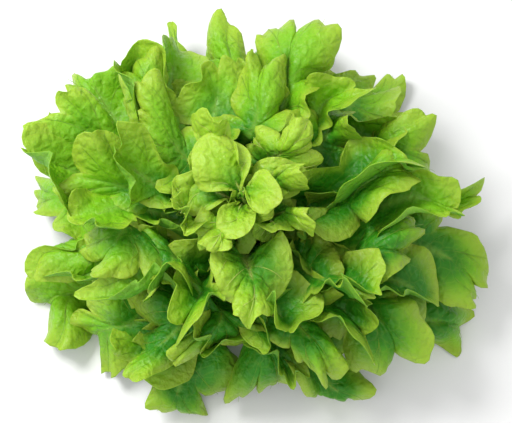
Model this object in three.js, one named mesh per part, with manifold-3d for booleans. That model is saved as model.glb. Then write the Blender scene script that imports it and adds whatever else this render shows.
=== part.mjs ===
// A head of green endive, freshly cut, standing upright on the cut face of its stem.
// Rings of lobed, waved leaves grow round a short stem and arch outwards. The outer
// leaves come down to the surface, and a pale heart of folded leaves closes the middle.
//
// Millimetres and degrees. +Z is up, and the origin is the middle of the cut face.

import * as THREE from 'three';
import Module from 'manifold-3d';
import { mergeVertices } from 'three/addons/utils/BufferGeometryUtils.js';

const wasm = await Module();
wasm.setup();

// Driving dimensions

const CUT_RADIUS = 14;
const STEM_HEIGHT = 44;
const NODE_GAP = 0.4;

const BLADE_THICKNESS = 1.0;
const RIB_THICKNESS = { atStem: 5, atBlade: 3, atTip: 1.0 };
const PETIOLE_HALF_WIDTH = 7;

// How far the head reaches from its middle, every 30 degrees anticlockwise from +X.
const REACH = [186, 142, 176, 143, 171, 180, 157, 145, 127, 111, 141, 162];
const MEAN_REACH = 134;

// Successive leaves stand the golden angle apart round the stem, as in most rosettes.
const FIRST_AZIMUTH = 60;
const GOLDEN_ANGLE = 137.508;

// Each ring of leaves, outermost first. A pair runs from the ring's first leaf to its last.
// rise and tip are the midrib's slope at the stem and at its end. lift is the angle at which
// a blade leaves its midrib, and curl how far it turns on its way to the margin. lean and
// twist are how far one lobe's lift and curl may differ from the next lobe's.
const RINGS = [
  {
    name: 'outer', leaves: 11, lobes: 6, height: [7, 14], radius: [13, 13], midrib: [120, 115],
    rise: [26, 42], tip: [-34, -20], lobe: [39, 38], lift: [16, 16], curl: [-34, -34],
    lean: 29, twist: 74, wave: 8, followsReach: 1.15,
  },
  {
    name: 'middle', leaves: 12, lobes: 6, height: [15, 25], radius: [13, 13], midrib: [115, 106],
    rise: [46, 60], tip: [-16, 4], lobe: [37, 36], lift: [10, 12], curl: [-38, -38],
    lean: 29, twist: 74, wave: 7, followsReach: 0.9,
  },
  {
    name: 'inner', leaves: 10, lobes: 6, height: [25, 32], radius: [13, 12], midrib: [102, 91],
    rise: [62, 70], tip: [8, 24], lobe: [34, 32], lift: [12, 12], curl: [-42, -42],
    lean: 29, twist: 68, wave: 6, followsReach: 0.5,
  },
  {
    name: 'core', leaves: 7, lobes: 5, height: [42, 48], radius: [10, 8], midrib: [80, 66],
    rise: [76, 83], tip: [36, 70], lobe: [30, 27], lift: [12, 12], curl: [-30, -10],
    lean: 34, twist: 55, wave: 5, followsReach: 0.2,
  },
  {
    name: 'heart', leaves: 5, lobes: 3, height: [50, 54], radius: [8, 5], midrib: [76, 62],
    rise: [80, 86], tip: [118, 150], lobe: [34, 30], lift: [10, 14], curl: [20, 30],
    lean: 8, twist: 20, wave: 1.5, followsReach: 0,
  },
];

// Where a leaf's side veins leave the midrib, as shares of its length.
const TIP_ROOT = 0.86;
const LAST_ROOT = 0.40;

// How deep the notch between two lobes is, as a share of the blade, how narrow it is, and
// how far the blade bends down towards it, so that each lobe is a rounded cup.
const NOTCH = 0.45;
const NOTCH_POWER = 3.4;
const CUP = 55;
const WAVES_PER_LOBE = 0.7;

// Where the blade is sampled: along the margin of each lobe, and from the midrib to the margin.
const LOBE_SAMPLES = [0, 0.25, 0.75];
const COLUMNS = [0, 0.5, 1];

// Below this height a leaf that droops lies down on the surface and doesn't reach through it.
const LIE_DOWN_HEIGHT = 9;

// The whole rosette is buckled by slow waves, alike for neighbouring leaves. Each row gives
// a direction, a phase, and the axis that is moved.
const BUCKLES = [
  [[2, 3, 1], 0.3, 'x'], [[-1, 2, 3], 1.7, 'y'], [[3, -1, 2], 2.9, 'z'],
  [[1, 3, -2], 4.1, 'x'], [[3, 2, 1], 5.2, 'y'], [[-2, 1, 3], 0.9, 'z'],
];
const BUCKLE_DEPTH = 5;
const BUCKLE_LENGTH = 70;
const BUCKLE_FULL_AT = 60;

// The surface between the green leaves and the heart, as a midrib's arc turned about +Z.
const PARTING = { radius: 11, height: 33, length: 120, rise: 70, tip: 26 };
const CLEAR_OF_THE_TOP = 250;

const radians = THREE.MathUtils.degToRad;
const clamp = THREE.MathUtils.clamp;
const between = ([first, last], share) => first + (last - first) * share;
const smooth = (t) => t * t * (3 - 2 * t);

// A repeatable draw from 0 to 1 for a leaf and a purpose, and one from -amount to amount.
function draw(leaf, purpose) {
  const x = Math.sin(leaf * 12.9898 + purpose * 78.233) * 43758.5453;
  return x - Math.floor(x);
}
const vary = (leaf, purpose, amount) => (2 * draw(leaf, purpose) - 1) * amount;

// How far the head reaches towards an angle in degrees, as a share of its mean reach.
function reachTowards(angle) {
  const place = THREE.MathUtils.euclideanModulo(angle, 360) / 30;
  const step = Math.floor(place);
  const share = smooth(place - step);
  return between([REACH[step % 12], REACH[(step + 1) % 12]], share) / MEAN_REACH;
}

// The end of a unit arc that starts at slope a and turns by b over its length, at share v.
function arc(a, b, v) {
  const turn = Math.abs(b) < 1e-4 ? 1e-4 : b;
  return [
    (Math.sin(a + turn * v) - Math.sin(a)) / turn,
    (Math.cos(a) - Math.cos(a + turn * v)) / turn,
  ];
}

// One leaf's own values: its ring's, varied by its draws. share is its place in the ring.
function leafValues(ring, share, leaf) {
  const azimuth = FIRST_AZIMUTH + GOLDEN_ANGLE * leaf + vary(leaf, 1, 8);
  const reach = 1 + ring.followsReach * (reachTowards(azimuth) - 1);
  const perLobe = (purpose, amount) =>
    Array.from({ length: ring.lobes }, (_, j) => vary(leaf, purpose + j, amount));
  const lean = perLobe(10, radians(ring.lean));
  const meanLean = lean.reduce((sum, x) => sum + x, 0) / ring.lobes;
  return {
    azimuth: radians(azimuth),
    lobes: ring.lobes,
    radius: between(ring.radius, share),
    height: between(ring.height, share),
    midrib: between(ring.midrib, share) * reach * (1 + vary(leaf, 2, 0.06)),
    rise: radians(between(ring.rise, share) + vary(leaf, 3, 1.5)),
    tip: radians(between(ring.tip, share) + vary(leaf, 4, 5)),
    lobe: between(ring.lobe, share),
    lift: radians(between(ring.lift, share)),
    curl: radians(between(ring.curl, share)),
    lobeLean: lean.map((x) => x - 0.4 * meanLean),
    lobeTwist: perLobe(30, radians(ring.twist)),
    lobeSize: perLobe(50, 0.14).map((x) => 1 + x),
    wave: ring.wave,
    wavePhase: 2 * Math.PI * draw(leaf, 70),
  };
}

// A value given for each lobe: held over the lobe and eased into the next one at the notch.
function alongLobes(values, w) {
  const place = clamp(w - 0.5, 0, values.length - 1);
  const lower = Math.min(Math.floor(place), values.length - 2);
  const share = smooth(clamp((place - lower - 0.2) / 0.6, 0, 1));
  return between([values[lower], values[lower + 1]], share);
}

// A side vein of the blade at w, which runs from 0 to the number of lobes round the margin,
// from one side of the blade's foot over its tip to the other side.
function bladeVein(leaf, w) {
  const side = (w - leaf.lobes / 2) / (leaf.lobes / 2);
  const away = Math.abs(side);
  const lobe = Math.min(Math.floor(w), leaf.lobes - 1);
  const across = Math.abs(2 * (w - lobe) - 1);
  return {
    root: TIP_ROOT - (TIP_ROOT - LAST_ROOT) * away ** 1.15,
    heading: Math.sign(side) * radians(128) * (1 - (1 - away) ** 1.5),
    length:
      leaf.lobe * (1 - 0.12 * away ** 2.2) * (1 - NOTCH * across ** NOTCH_POWER) *
      alongLobes(leaf.lobeSize, w),
    slope: leaf.lift + alongLobes(leaf.lobeLean, w),
    turn: leaf.curl + alongLobes(leaf.lobeTwist, w) - radians(CUP) * across ** 2,
    wave: leaf.wave * Math.sin(2 * Math.PI * WAVES_PER_LOBE * w + leaf.wavePhase),
  };
}

// The side of the petiole where it meets the stem.
const petioleFoot = (side) => ({
  root: 0, heading: side * radians(95), length: PETIOLE_HALF_WIDTH, slope: 0, turn: 0, wave: 0,
});

// The rosette's slow waves, which fade out towards the stem.
function buckled(point) {
  const depth = BUCKLE_DEPTH * smooth(clamp(Math.hypot(point.x, point.y) / BUCKLE_FULL_AT, 0, 1));
  const moved = point.clone();
  for (const [direction, phase, axis] of BUCKLES) {
    const along = new THREE.Vector3(...direction).normalize().dot(point);
    moved[axis] += depth * Math.sin(2 * Math.PI * along / BUCKLE_LENGTH + phase);
  }
  return moved;
}

// A point on a surface of revolution: share of the way along an arc that starts at radius and
// height, aside from the arc's plane, and lifted off the surface.
function onArc({ radius, height, length, rise, tip }, share, azimuth, aside, lifted) {
  const [along, up] = arc(rise, tip - rise, share);
  const slope = rise + (tip - rise) * share;
  const out = radius + length * along;
  const angle = azimuth + aside / Math.hypot(out, 18);
  const reach = out - lifted * Math.sin(slope);
  return new THREE.Vector3(
    reach * Math.cos(angle),
    reach * Math.sin(angle),
    height + length * up + lifted * Math.cos(slope),
  );
}

// The point of a leaf on one of its side veins, at share v of the way to the margin.
function leafPoint(leaf, vein, v) {
  const [run, lift] = arc(vein.slope, vein.turn, v);
  const angle = vein.slope + vein.turn * v;
  const wave = vein.wave * v * v;
  const away = vein.length * run - wave * Math.sin(angle);
  const share = vein.root + away * Math.cos(vein.heading) / leaf.midrib;
  const point = buckled(onArc(
    { ...leaf, length: leaf.midrib }, Math.max(share, 0), leaf.azimuth,
    away * Math.sin(vein.heading), vein.length * lift + wave * Math.cos(angle),
  ));
  if (point.z < LIE_DOWN_HEIGHT) {
    point.z = LIE_DOWN_HEIGHT * Math.exp(point.z / LIE_DOWN_HEIGHT - 1);
  }
  return point;
}

// The leaf's thickness under one of its points.
function thickness(vein, v) {
  if (v > 0) return BLADE_THICKNESS;
  return vein.root < LAST_ROOT
    ? between([RIB_THICKNESS.atStem, RIB_THICKNESS.atBlade], vein.root / LAST_ROOT)
    : between([RIB_THICKNESS.atBlade, RIB_THICKNESS.atTip],
      (vein.root - LAST_ROOT) / (TIP_ROOT - LAST_ROOT));
}

// A leaf as a closed sheet: rows are its side veins, from one edge of the petiole round the
// blade to the other edge, and both halves share the points of the midrib.
function leafSolid(leaf) {
  const eachLobe = Array.from({ length: leaf.lobes }, (_, lobe) => lobe);
  const places = eachLobe.flatMap((lobe) => LOBE_SAMPLES.map((share) => lobe + share));
  places.push(leaf.lobes);
  if (places.length % 2 === 0) places.splice(places.length / 2, 0, leaf.lobes / 2);
  const veins = [petioleFoot(-1), ...places.map((w) => bladeVein(leaf, w)), petioleFoot(1)];
  const rows = veins.length;
  const last = COLUMNS.length - 1;
  const id = (i, j) => (j === 0 ? Math.min(i, rows - 1 - i) : i) * COLUMNS.length + j;

  const points = new Map();
  veins.forEach((vein, i) => COLUMNS.forEach((v, j) => {
    if (points.has(id(i, j))) return;
    points.set(id(i, j), {
      position: leafPoint(leaf, vein, v), normal: new THREE.Vector3(), thick: thickness(vein, v),
    });
  }));

  const triangles = [];
  for (let i = 0; i < rows - 1; i++) {
    for (let j = 0; j < last; j++) {
      triangles.push([id(i, j), id(i + 1, j), id(i + 1, j + 1)]);
      triangles.push([id(i, j), id(i + 1, j + 1), id(i, j + 1)]);
    }
  }
  for (const corners of triangles) {
    const [a, b, c] = corners.map((k) => points.get(k).position);
    const normal = b.clone().sub(a).cross(c.clone().sub(a));
    corners.forEach((k) => points.get(k).normal.add(normal));
  }

  const vertices = [];
  const under = new Map();
  const over = new Map();
  for (const [k, { position, normal, thick }] of points) {
    normal.normalize();
    under.set(k, vertices.length / 3);
    const low = position.clone().addScaledVector(normal, thick / 2);
    over.set(k, vertices.length / 3 + 1);
    const high = position.clone().addScaledVector(normal, -thick / 2);
    vertices.push(low.x, low.y, Math.max(low.z, 0.2), high.x, high.y, Math.max(high.z, 0.2));
  }

  const faces = [];
  for (const [a, b, c] of triangles) {
    faces.push(under.get(a), under.get(b), under.get(c));
    faces.push(over.get(a), over.get(c), over.get(b));
  }
  const edge = [];
  for (let i = 0; i < rows; i++) edge.push(id(i, last));
  for (let j = last - 1; j >= 0; j--) edge.push(id(rows - 1, j));
  for (let j = 1; j < last; j++) edge.push(id(0, j));
  edge.forEach((a, n) => {
    const b = edge[(n + 1) % edge.length];
    faces.push(under.get(a), under.get(b), over.get(b));
    faces.push(under.get(a), over.get(b), over.get(a));
  });
  return new wasm.Manifold(new wasm.Mesh({
    numProp: 3,
    vertProperties: new Float32Array(vertices),
    triVerts: new Uint32Array(faces),
  }));
}

// A closed three.js geometry as a solid, and a solid as a three.js geometry.
function solidOf(geometry) {
  geometry.deleteAttribute('normal');
  geometry.deleteAttribute('uv');
  const merged = mergeVertices(geometry, 1e-4);
  return new wasm.Manifold(new wasm.Mesh({
    numProp: 3,
    vertProperties: new Float32Array(merged.attributes.position.array),
    triVerts: new Uint32Array(merged.index.array),
  }));
}

function geometryOf(solid) {
  const mesh = solid.getMesh();
  return new THREE.BufferGeometry()
    .setAttribute('position', new THREE.BufferAttribute(new Float32Array(mesh.vertProperties), 3))
    .setIndex(new THREE.BufferAttribute(new Uint32Array(mesh.triVerts), 1));
}

// The largest body of a solid, with its sealed hollows filled and loose scraps dropped.
function mainBody(solid) {
  return solid.decompose().reduce((a, b) => (b.volume() > a.volume() ? b : a));
}

// A round solid about +Z, from a profile of radius and height pairs that ends on the axis.
// moved takes each of its points to where it belongs.
function turned(profile, sides, moved = (point) => point) {
  const points = profile.map(([radius, height]) => new THREE.Vector2(radius, height));
  const geometry = new THREE.LatheGeometry(points, sides);
  geometry.rotateX(Math.PI / 2);
  const positions = geometry.attributes.position;
  for (let i = 0; i < positions.count; i++) {
    const point = moved(new THREE.Vector3().fromBufferAttribute(positions, i));
    positions.setXYZ(i, point.x, point.y, point.z);
  }
  return solidOf(geometry);
}

// The stem, larger all round by gap where it is used to cut its neighbours clear of it.
const stemShape = (gap = 0) => turned([
  [0, gap ? -1 : 0],
  [CUT_RADIUS + gap, gap ? -1 : 0],
  [CUT_RADIUS + 3 + gap, 6],
  [CUT_RADIUS + 2 + gap, 22],
  [CUT_RADIUS - 3 + gap, STEM_HEIGHT - 6],
  [CUT_RADIUS - 8 + gap, STEM_HEIGHT + gap],
  [0, STEM_HEIGHT + gap],
], 24);

// The packed inside of the head: the green leaves stand out of it, and their stalks, which
// can't be seen, are one with it.
const packedShape = () => turned([
  [0, 8],
  [28, 8],
  [54, 30],
  [59, 52],
  [48, 70],
  [33, 81],
  [0, 81],
], 20);

// The growing tip above the stem, which the heart leaves stand round.
const budShape = () => turned([
  [0, STEM_HEIGHT + NODE_GAP],
  [10, STEM_HEIGHT + NODE_GAP],
  [14, 60],
  [19, 80],
  [14, 96],
  [0, 102],
], 16);

// The bowl that the green leaves leave free for the heart, moved inwards by gap where it
// keeps the heart in.
function heartBowl(gap = 0) {
  const surface = { ...PARTING, rise: radians(PARTING.rise), tip: radians(PARTING.tip) };
  const profile = [[0, PARTING.height]];
  for (let i = 0; i <= 6; i++) {
    const point = onArc(surface, i / 6, 0, 0, gap);
    profile.push([point.x, point.z]);
  }
  const [brim] = profile.at(-1);
  return turned([...profile, [brim, CLEAR_OF_THE_TOP], [0, CLEAR_OF_THE_TOP]], 24, buckled);
}

// Every leaf of the head, outermost first.
const leaves = RINGS.flatMap((ring) =>
  Array.from({ length: ring.leaves }, (_, i) => ({ ring, share: i / (ring.leaves - 1) })),
).map(({ ring, share }, leaf) => ({ ring: ring.name, ...leafValues(ring, share, leaf) }));

const inHeart = (leaf) => leaf.ring === 'core' || leaf.ring === 'heart';
const fused = (solids) => wasm.Manifold.union(solids);

const heart = mainBody(
  fused([budShape(), ...leaves.filter(inHeart).map(leafSolid)])
    .intersect(heartBowl(NODE_GAP))
    .subtract(stemShape(NODE_GAP)),
);
const green = mainBody(
  fused([packedShape(), ...leaves.filter((leaf) => !inHeart(leaf)).map(leafSolid)])
    .subtract(stemShape(NODE_GAP))
    .subtract(heartBowl()),
);

const finish = (color, roughness) =>
  new THREE.MeshStandardMaterial({ color, roughness, metalness: 0, flatShading: true });

function addPiece(group, name, solid, material) {
  const mesh = new THREE.Mesh(geometryOf(solid), material);
  mesh.name = name;
  group.add(mesh);
}

const endive = new THREE.Group();
addPiece(endive, 'stem', stemShape(), finish(0xe4e8c0, 0.7));
addPiece(endive, 'heart_leaves', heart, finish(0xb6cf4e, 0.5));
addPiece(endive, 'green_leaves', green, finish(0x78b62c, 0.5));

export default endive;
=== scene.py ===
"""A whole head of green endive, freshly cut, standing on the cut face of its stem.

Rings of lobed, waved leaves grow round a short stem and arch outwards, and a pale heart of
crinkled leaves closes the middle. The rosette's rule is the one that the solid model was
grown by: here each leaf is a fine blade of its own, with veins, puckers and a thin margin.

The rosette's sizes are in millimetres and degrees, and the scene is in metres.
"""
from __future__ import annotations

import logging
import math
from dataclasses import dataclass
from enum import Enum, IntEnum

import bpy
import numpy as np
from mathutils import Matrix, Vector

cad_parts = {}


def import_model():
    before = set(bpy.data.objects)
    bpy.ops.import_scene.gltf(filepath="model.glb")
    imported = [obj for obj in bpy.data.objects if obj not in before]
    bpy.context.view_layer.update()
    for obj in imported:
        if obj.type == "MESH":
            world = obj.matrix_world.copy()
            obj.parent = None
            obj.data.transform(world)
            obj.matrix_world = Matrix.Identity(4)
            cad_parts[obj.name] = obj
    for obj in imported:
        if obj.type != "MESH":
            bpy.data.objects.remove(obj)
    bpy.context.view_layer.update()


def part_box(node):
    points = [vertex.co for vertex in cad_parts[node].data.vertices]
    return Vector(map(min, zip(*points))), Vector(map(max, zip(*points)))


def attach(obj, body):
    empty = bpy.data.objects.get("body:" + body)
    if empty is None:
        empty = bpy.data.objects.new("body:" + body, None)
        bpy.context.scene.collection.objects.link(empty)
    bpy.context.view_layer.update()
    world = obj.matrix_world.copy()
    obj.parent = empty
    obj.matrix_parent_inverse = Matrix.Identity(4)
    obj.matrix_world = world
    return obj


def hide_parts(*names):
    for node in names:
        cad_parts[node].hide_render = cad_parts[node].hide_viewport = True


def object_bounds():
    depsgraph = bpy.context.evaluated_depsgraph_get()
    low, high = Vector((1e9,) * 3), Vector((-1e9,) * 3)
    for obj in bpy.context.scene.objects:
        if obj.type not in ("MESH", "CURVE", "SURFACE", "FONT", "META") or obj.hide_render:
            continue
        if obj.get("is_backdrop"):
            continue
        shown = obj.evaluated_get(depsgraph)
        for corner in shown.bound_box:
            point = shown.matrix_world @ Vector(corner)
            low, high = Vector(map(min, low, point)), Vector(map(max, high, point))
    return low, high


LOG = logging.getLogger("endive")

MM = 0.001
BODY = "root"
LEAST_TURN = 1e-4

Pair = tuple[float, float]
Colour = tuple[float, float, float]
Numbers = tuple[float, ...]


class Ring(Enum):
    """The rings of leaves, outermost first, then the small leaves between the green ones."""

    OUTER = "outer"
    MIDDLE = "middle"
    INNER = "inner"
    CORE = "core"
    HEART = "heart"
    BUD = "bud"
    SMALL_OUTER = "small_outer"
    SMALL_INNER = "small_inner"


class Node(Enum):
    """The solid model's nodes, which the finer pieces stand for."""

    STEM = "stem"
    HEART = "heart_leaves"
    GREEN = "green_leaves"


class Draw(IntEnum):
    """What a leaf's draws are for. LEAN, TWIST and SIZE go up by one for each lobe."""

    AZIMUTH = 1
    MIDRIB = 2
    RISE = 3
    TIP = 4
    LEAN = 10
    TWIST = 30
    SIZE = 50
    WAVE = 70
    TINT = 90


def between(pair: Pair, share: float | np.ndarray) -> float | np.ndarray:
    """The value at a share of the way from the pair's first value to its last."""
    return pair[0] + (pair[1] - pair[0]) * share


def smooth(t: float | np.ndarray) -> float | np.ndarray:
    """Eases a share from 0 to 1 in and out."""
    return t * t * (3 - 2 * t)


def draw(leaf: int, purpose: int) -> float:
    """A repeatable draw from 0 to 1 for a leaf and a purpose."""
    x = math.sin(leaf * 12.9898 + purpose * 78.233) * 43758.5453
    return x - math.floor(x)


def vary(leaf: int, purpose: int, amount: float) -> float:
    """A repeatable draw from -amount to amount for a leaf and a purpose."""
    return (2 * draw(leaf, purpose) - 1) * amount


def arc(start: np.ndarray, turn: np.ndarray, share: np.ndarray) -> tuple[np.ndarray, np.ndarray]:
    """A point on a unit arc.

    Args:
        start: The arc's slope at its start, in radians.
        turn: How far the slope turns over the whole arc.
        share: How far along the arc the point is.

    Returns:
        The point's way along and up.
    """
    turn = np.where(np.abs(turn) < LEAST_TURN, LEAST_TURN, turn)
    angle = start + turn * share
    return (np.sin(angle) - np.sin(start)) / turn, (np.cos(start) - np.cos(angle)) / turn


def unit(vectors: np.ndarray, least: float = 1e-9) -> np.ndarray:
    """Vectors, one a row, at length 1. Those shorter than the least length stay shorter."""
    return vectors / np.maximum(np.linalg.norm(vectors, axis=1, keepdims=True), least)


@dataclass(frozen=True)
class RingPlan:
    """One ring's sizes, as pairs from its first leaf to its last."""

    ring: Ring
    node: Node
    leaves: int
    lobes: int
    height: Pair
    radius: Pair
    midrib: Pair
    rise: Pair
    tip: Pair
    lobe: Pair
    lift: Pair
    curl: Pair
    lean: float
    twist: float
    wave: float
    follows_reach: float
    pucker: float


RINGS = (
    RingPlan(Ring.OUTER, Node.GREEN, leaves=11, lobes=6, height=(7, 14), radius=(13, 13),
             midrib=(120, 115), rise=(26, 42), tip=(-34, -20), lobe=(39, 38), lift=(16, 16),
             curl=(-34, -34), lean=29, twist=74, wave=8, follows_reach=1.15, pucker=1.2),
    RingPlan(Ring.MIDDLE, Node.GREEN, leaves=12, lobes=6, height=(15, 25), radius=(13, 13),
             midrib=(115, 106), rise=(46, 60), tip=(-16, 4), lobe=(37, 36), lift=(10, 12),
             curl=(-38, -38), lean=29, twist=74, wave=7, follows_reach=0.9, pucker=1.2),
    RingPlan(Ring.INNER, Node.GREEN, leaves=10, lobes=6, height=(25, 32), radius=(13, 12),
             midrib=(102, 91), rise=(62, 70), tip=(8, 24), lobe=(34, 32), lift=(12, 12),
             curl=(-42, -42), lean=29, twist=68, wave=6, follows_reach=0.5, pucker=1.3),
    RingPlan(Ring.CORE, Node.HEART, leaves=7, lobes=5, height=(42, 48), radius=(10, 8),
             midrib=(80, 66), rise=(76, 83), tip=(36, 70), lobe=(30, 27), lift=(12, 12),
             curl=(-30, -10), lean=34, twist=55, wave=5, follows_reach=0.2, pucker=1.7),
    RingPlan(Ring.HEART, Node.HEART, leaves=5, lobes=3, height=(50, 54), radius=(8, 5),
             midrib=(76, 62), rise=(80, 86), tip=(118, 150), lobe=(34, 30), lift=(10, 14),
             curl=(20, 30), lean=8, twist=20, wave=1.5, follows_reach=0, pucker=2.6),
    RingPlan(Ring.BUD, Node.HEART, leaves=5, lobes=3, height=(48, 50), radius=(4, 3),
             midrib=(50, 44), rise=(86, 89), tip=(120, 160), lobe=(24, 20), lift=(8, 10),
             curl=(10, 20), lean=8, twist=20, wave=1.2, follows_reach=0, pucker=0.8),
    RingPlan(Ring.SMALL_OUTER, Node.GREEN, leaves=12, lobes=4, height=(11, 22), radius=(12, 12),
             midrib=(116, 106), rise=(38, 54), tip=(-26, -6), lobe=(30, 28), lift=(12, 12),
             curl=(50, 50), lean=26, twist=60, wave=8, follows_reach=1.05, pucker=1.2),
    RingPlan(Ring.SMALL_INNER, Node.GREEN, leaves=14, lobes=4, height=(22, 32), radius=(12, 12),
             midrib=(106, 88), rise=(54, 68), tip=(-8, 18), lobe=(29, 27), lift=(8, 8),
             curl=(60, 60), lean=26, twist=60, wave=8, follows_reach=0.8, pucker=1.2),
)


@dataclass(frozen=True)
class LeafForm:
    """The values that every leaf of the head shares.

    Lengths are in millimetres and angles in degrees. A spread is how far a draw goes either
    way, and a power shapes how a value changes towards the blade's foot or the stem.
    """

    reach: tuple[float, ...] = (186, 142, 176, 143, 171, 180, 157, 145, 127, 111, 141, 162)
    mean_reach: float = 134
    first_azimuth: float = 60
    golden_angle: float = 137.508
    tip_root: float = 0.86
    last_root: float = 0.40
    foot_heading: float = 128
    petiole_heading: float = 95
    taper: float = 0.12
    azimuth_spread: float = 8
    midrib_spread: float = 0.06
    rise_spread: float = 1.5
    tip_spread: float = 5
    size_spread: float = 0.14
    lean_evened: float = 0.4
    lobe_ease: Pair = (0.2, 0.6)
    root_power: float = 1.15
    heading_power: float = 1.5
    taper_power: float = 2.2
    flare_power: float = 1.8
    turning_radius: float = 18
    notch: float = 0.45
    notch_power: float = 3.4
    scallop: float = 0.04
    scallops_per_lobe: int = 3
    waves_per_lobe: float = 0.7
    cup: float = 55
    blister_length: float = 8.5
    smooth_by_rib: float = 2.5
    bulges_per_lobe: int = 3
    bulge_power: float = 0.7
    bulge_rises_over: float = 7
    stagger: Pair = (0.4, 5)
    calm_margin: Pair = (0.45, 0.75)
    petiole_half_width: float = 7
    lie_down_height: float = 9
    buckle_depth: float = 5
    buckle_length: float = 70
    buckle_full_at: float = 60
    ruffles: tuple[tuple[float, float, int], ...] = ((1.0, 1.5, 2), (0.5, 3.3, 3))
    buckles: tuple[tuple[tuple[float, float, float], float, int], ...] = (
        ((2, 3, 1), 0.3, 0), ((-1, 2, 3), 1.7, 1), ((3, -1, 2), 2.9, 2),
        ((1, 3, -2), 4.1, 0), ((3, 2, 1), 5.2, 1), ((-2, 1, 3), 0.9, 2),
    )

    def reach_towards(self, angle: float) -> float:
        """How far the head reaches towards an angle in degrees, as a share of its mean reach."""
        sectors = len(self.reach)
        place = (angle % 360) / (360 / sectors)
        step = int(place)
        ends = (self.reach[step % sectors], self.reach[(step + 1) % sectors])
        return between(ends, smooth(place - step)) / self.mean_reach

    def buckled(self, points: np.ndarray) -> np.ndarray:
        """The rosette's slow waves, which fade out towards the stem, applied to points."""
        out = np.hypot(points[..., 0], points[..., 1])
        depth = self.buckle_depth * smooth(np.clip(out / self.buckle_full_at, 0, 1))
        moved = points.copy()
        for direction, phase, axis in self.buckles:
            along = points @ (np.array(direction) / np.linalg.norm(direction))
            moved[..., axis] += depth * np.sin(2 * math.pi * along / self.buckle_length + phase)
        return moved

    def lying_down(self, points: np.ndarray) -> np.ndarray:
        """Points of a drooping leaf, which lies down on the surface and not through it."""
        low = self.lie_down_height
        height = points[..., 2]
        lying = low * np.exp(np.minimum(height, low) / low - 1)
        points[..., 2] = np.where(height < low, lying, height)
        return points


FORM = LeafForm()


@dataclass
class Veins:
    """Side veins of a leaf, one a row: where each leaves the midrib and how it runs."""

    place: np.ndarray
    root: np.ndarray
    heading: np.ndarray
    length: np.ndarray
    slope: np.ndarray
    turn: np.ndarray
    wave: np.ndarray


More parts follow.
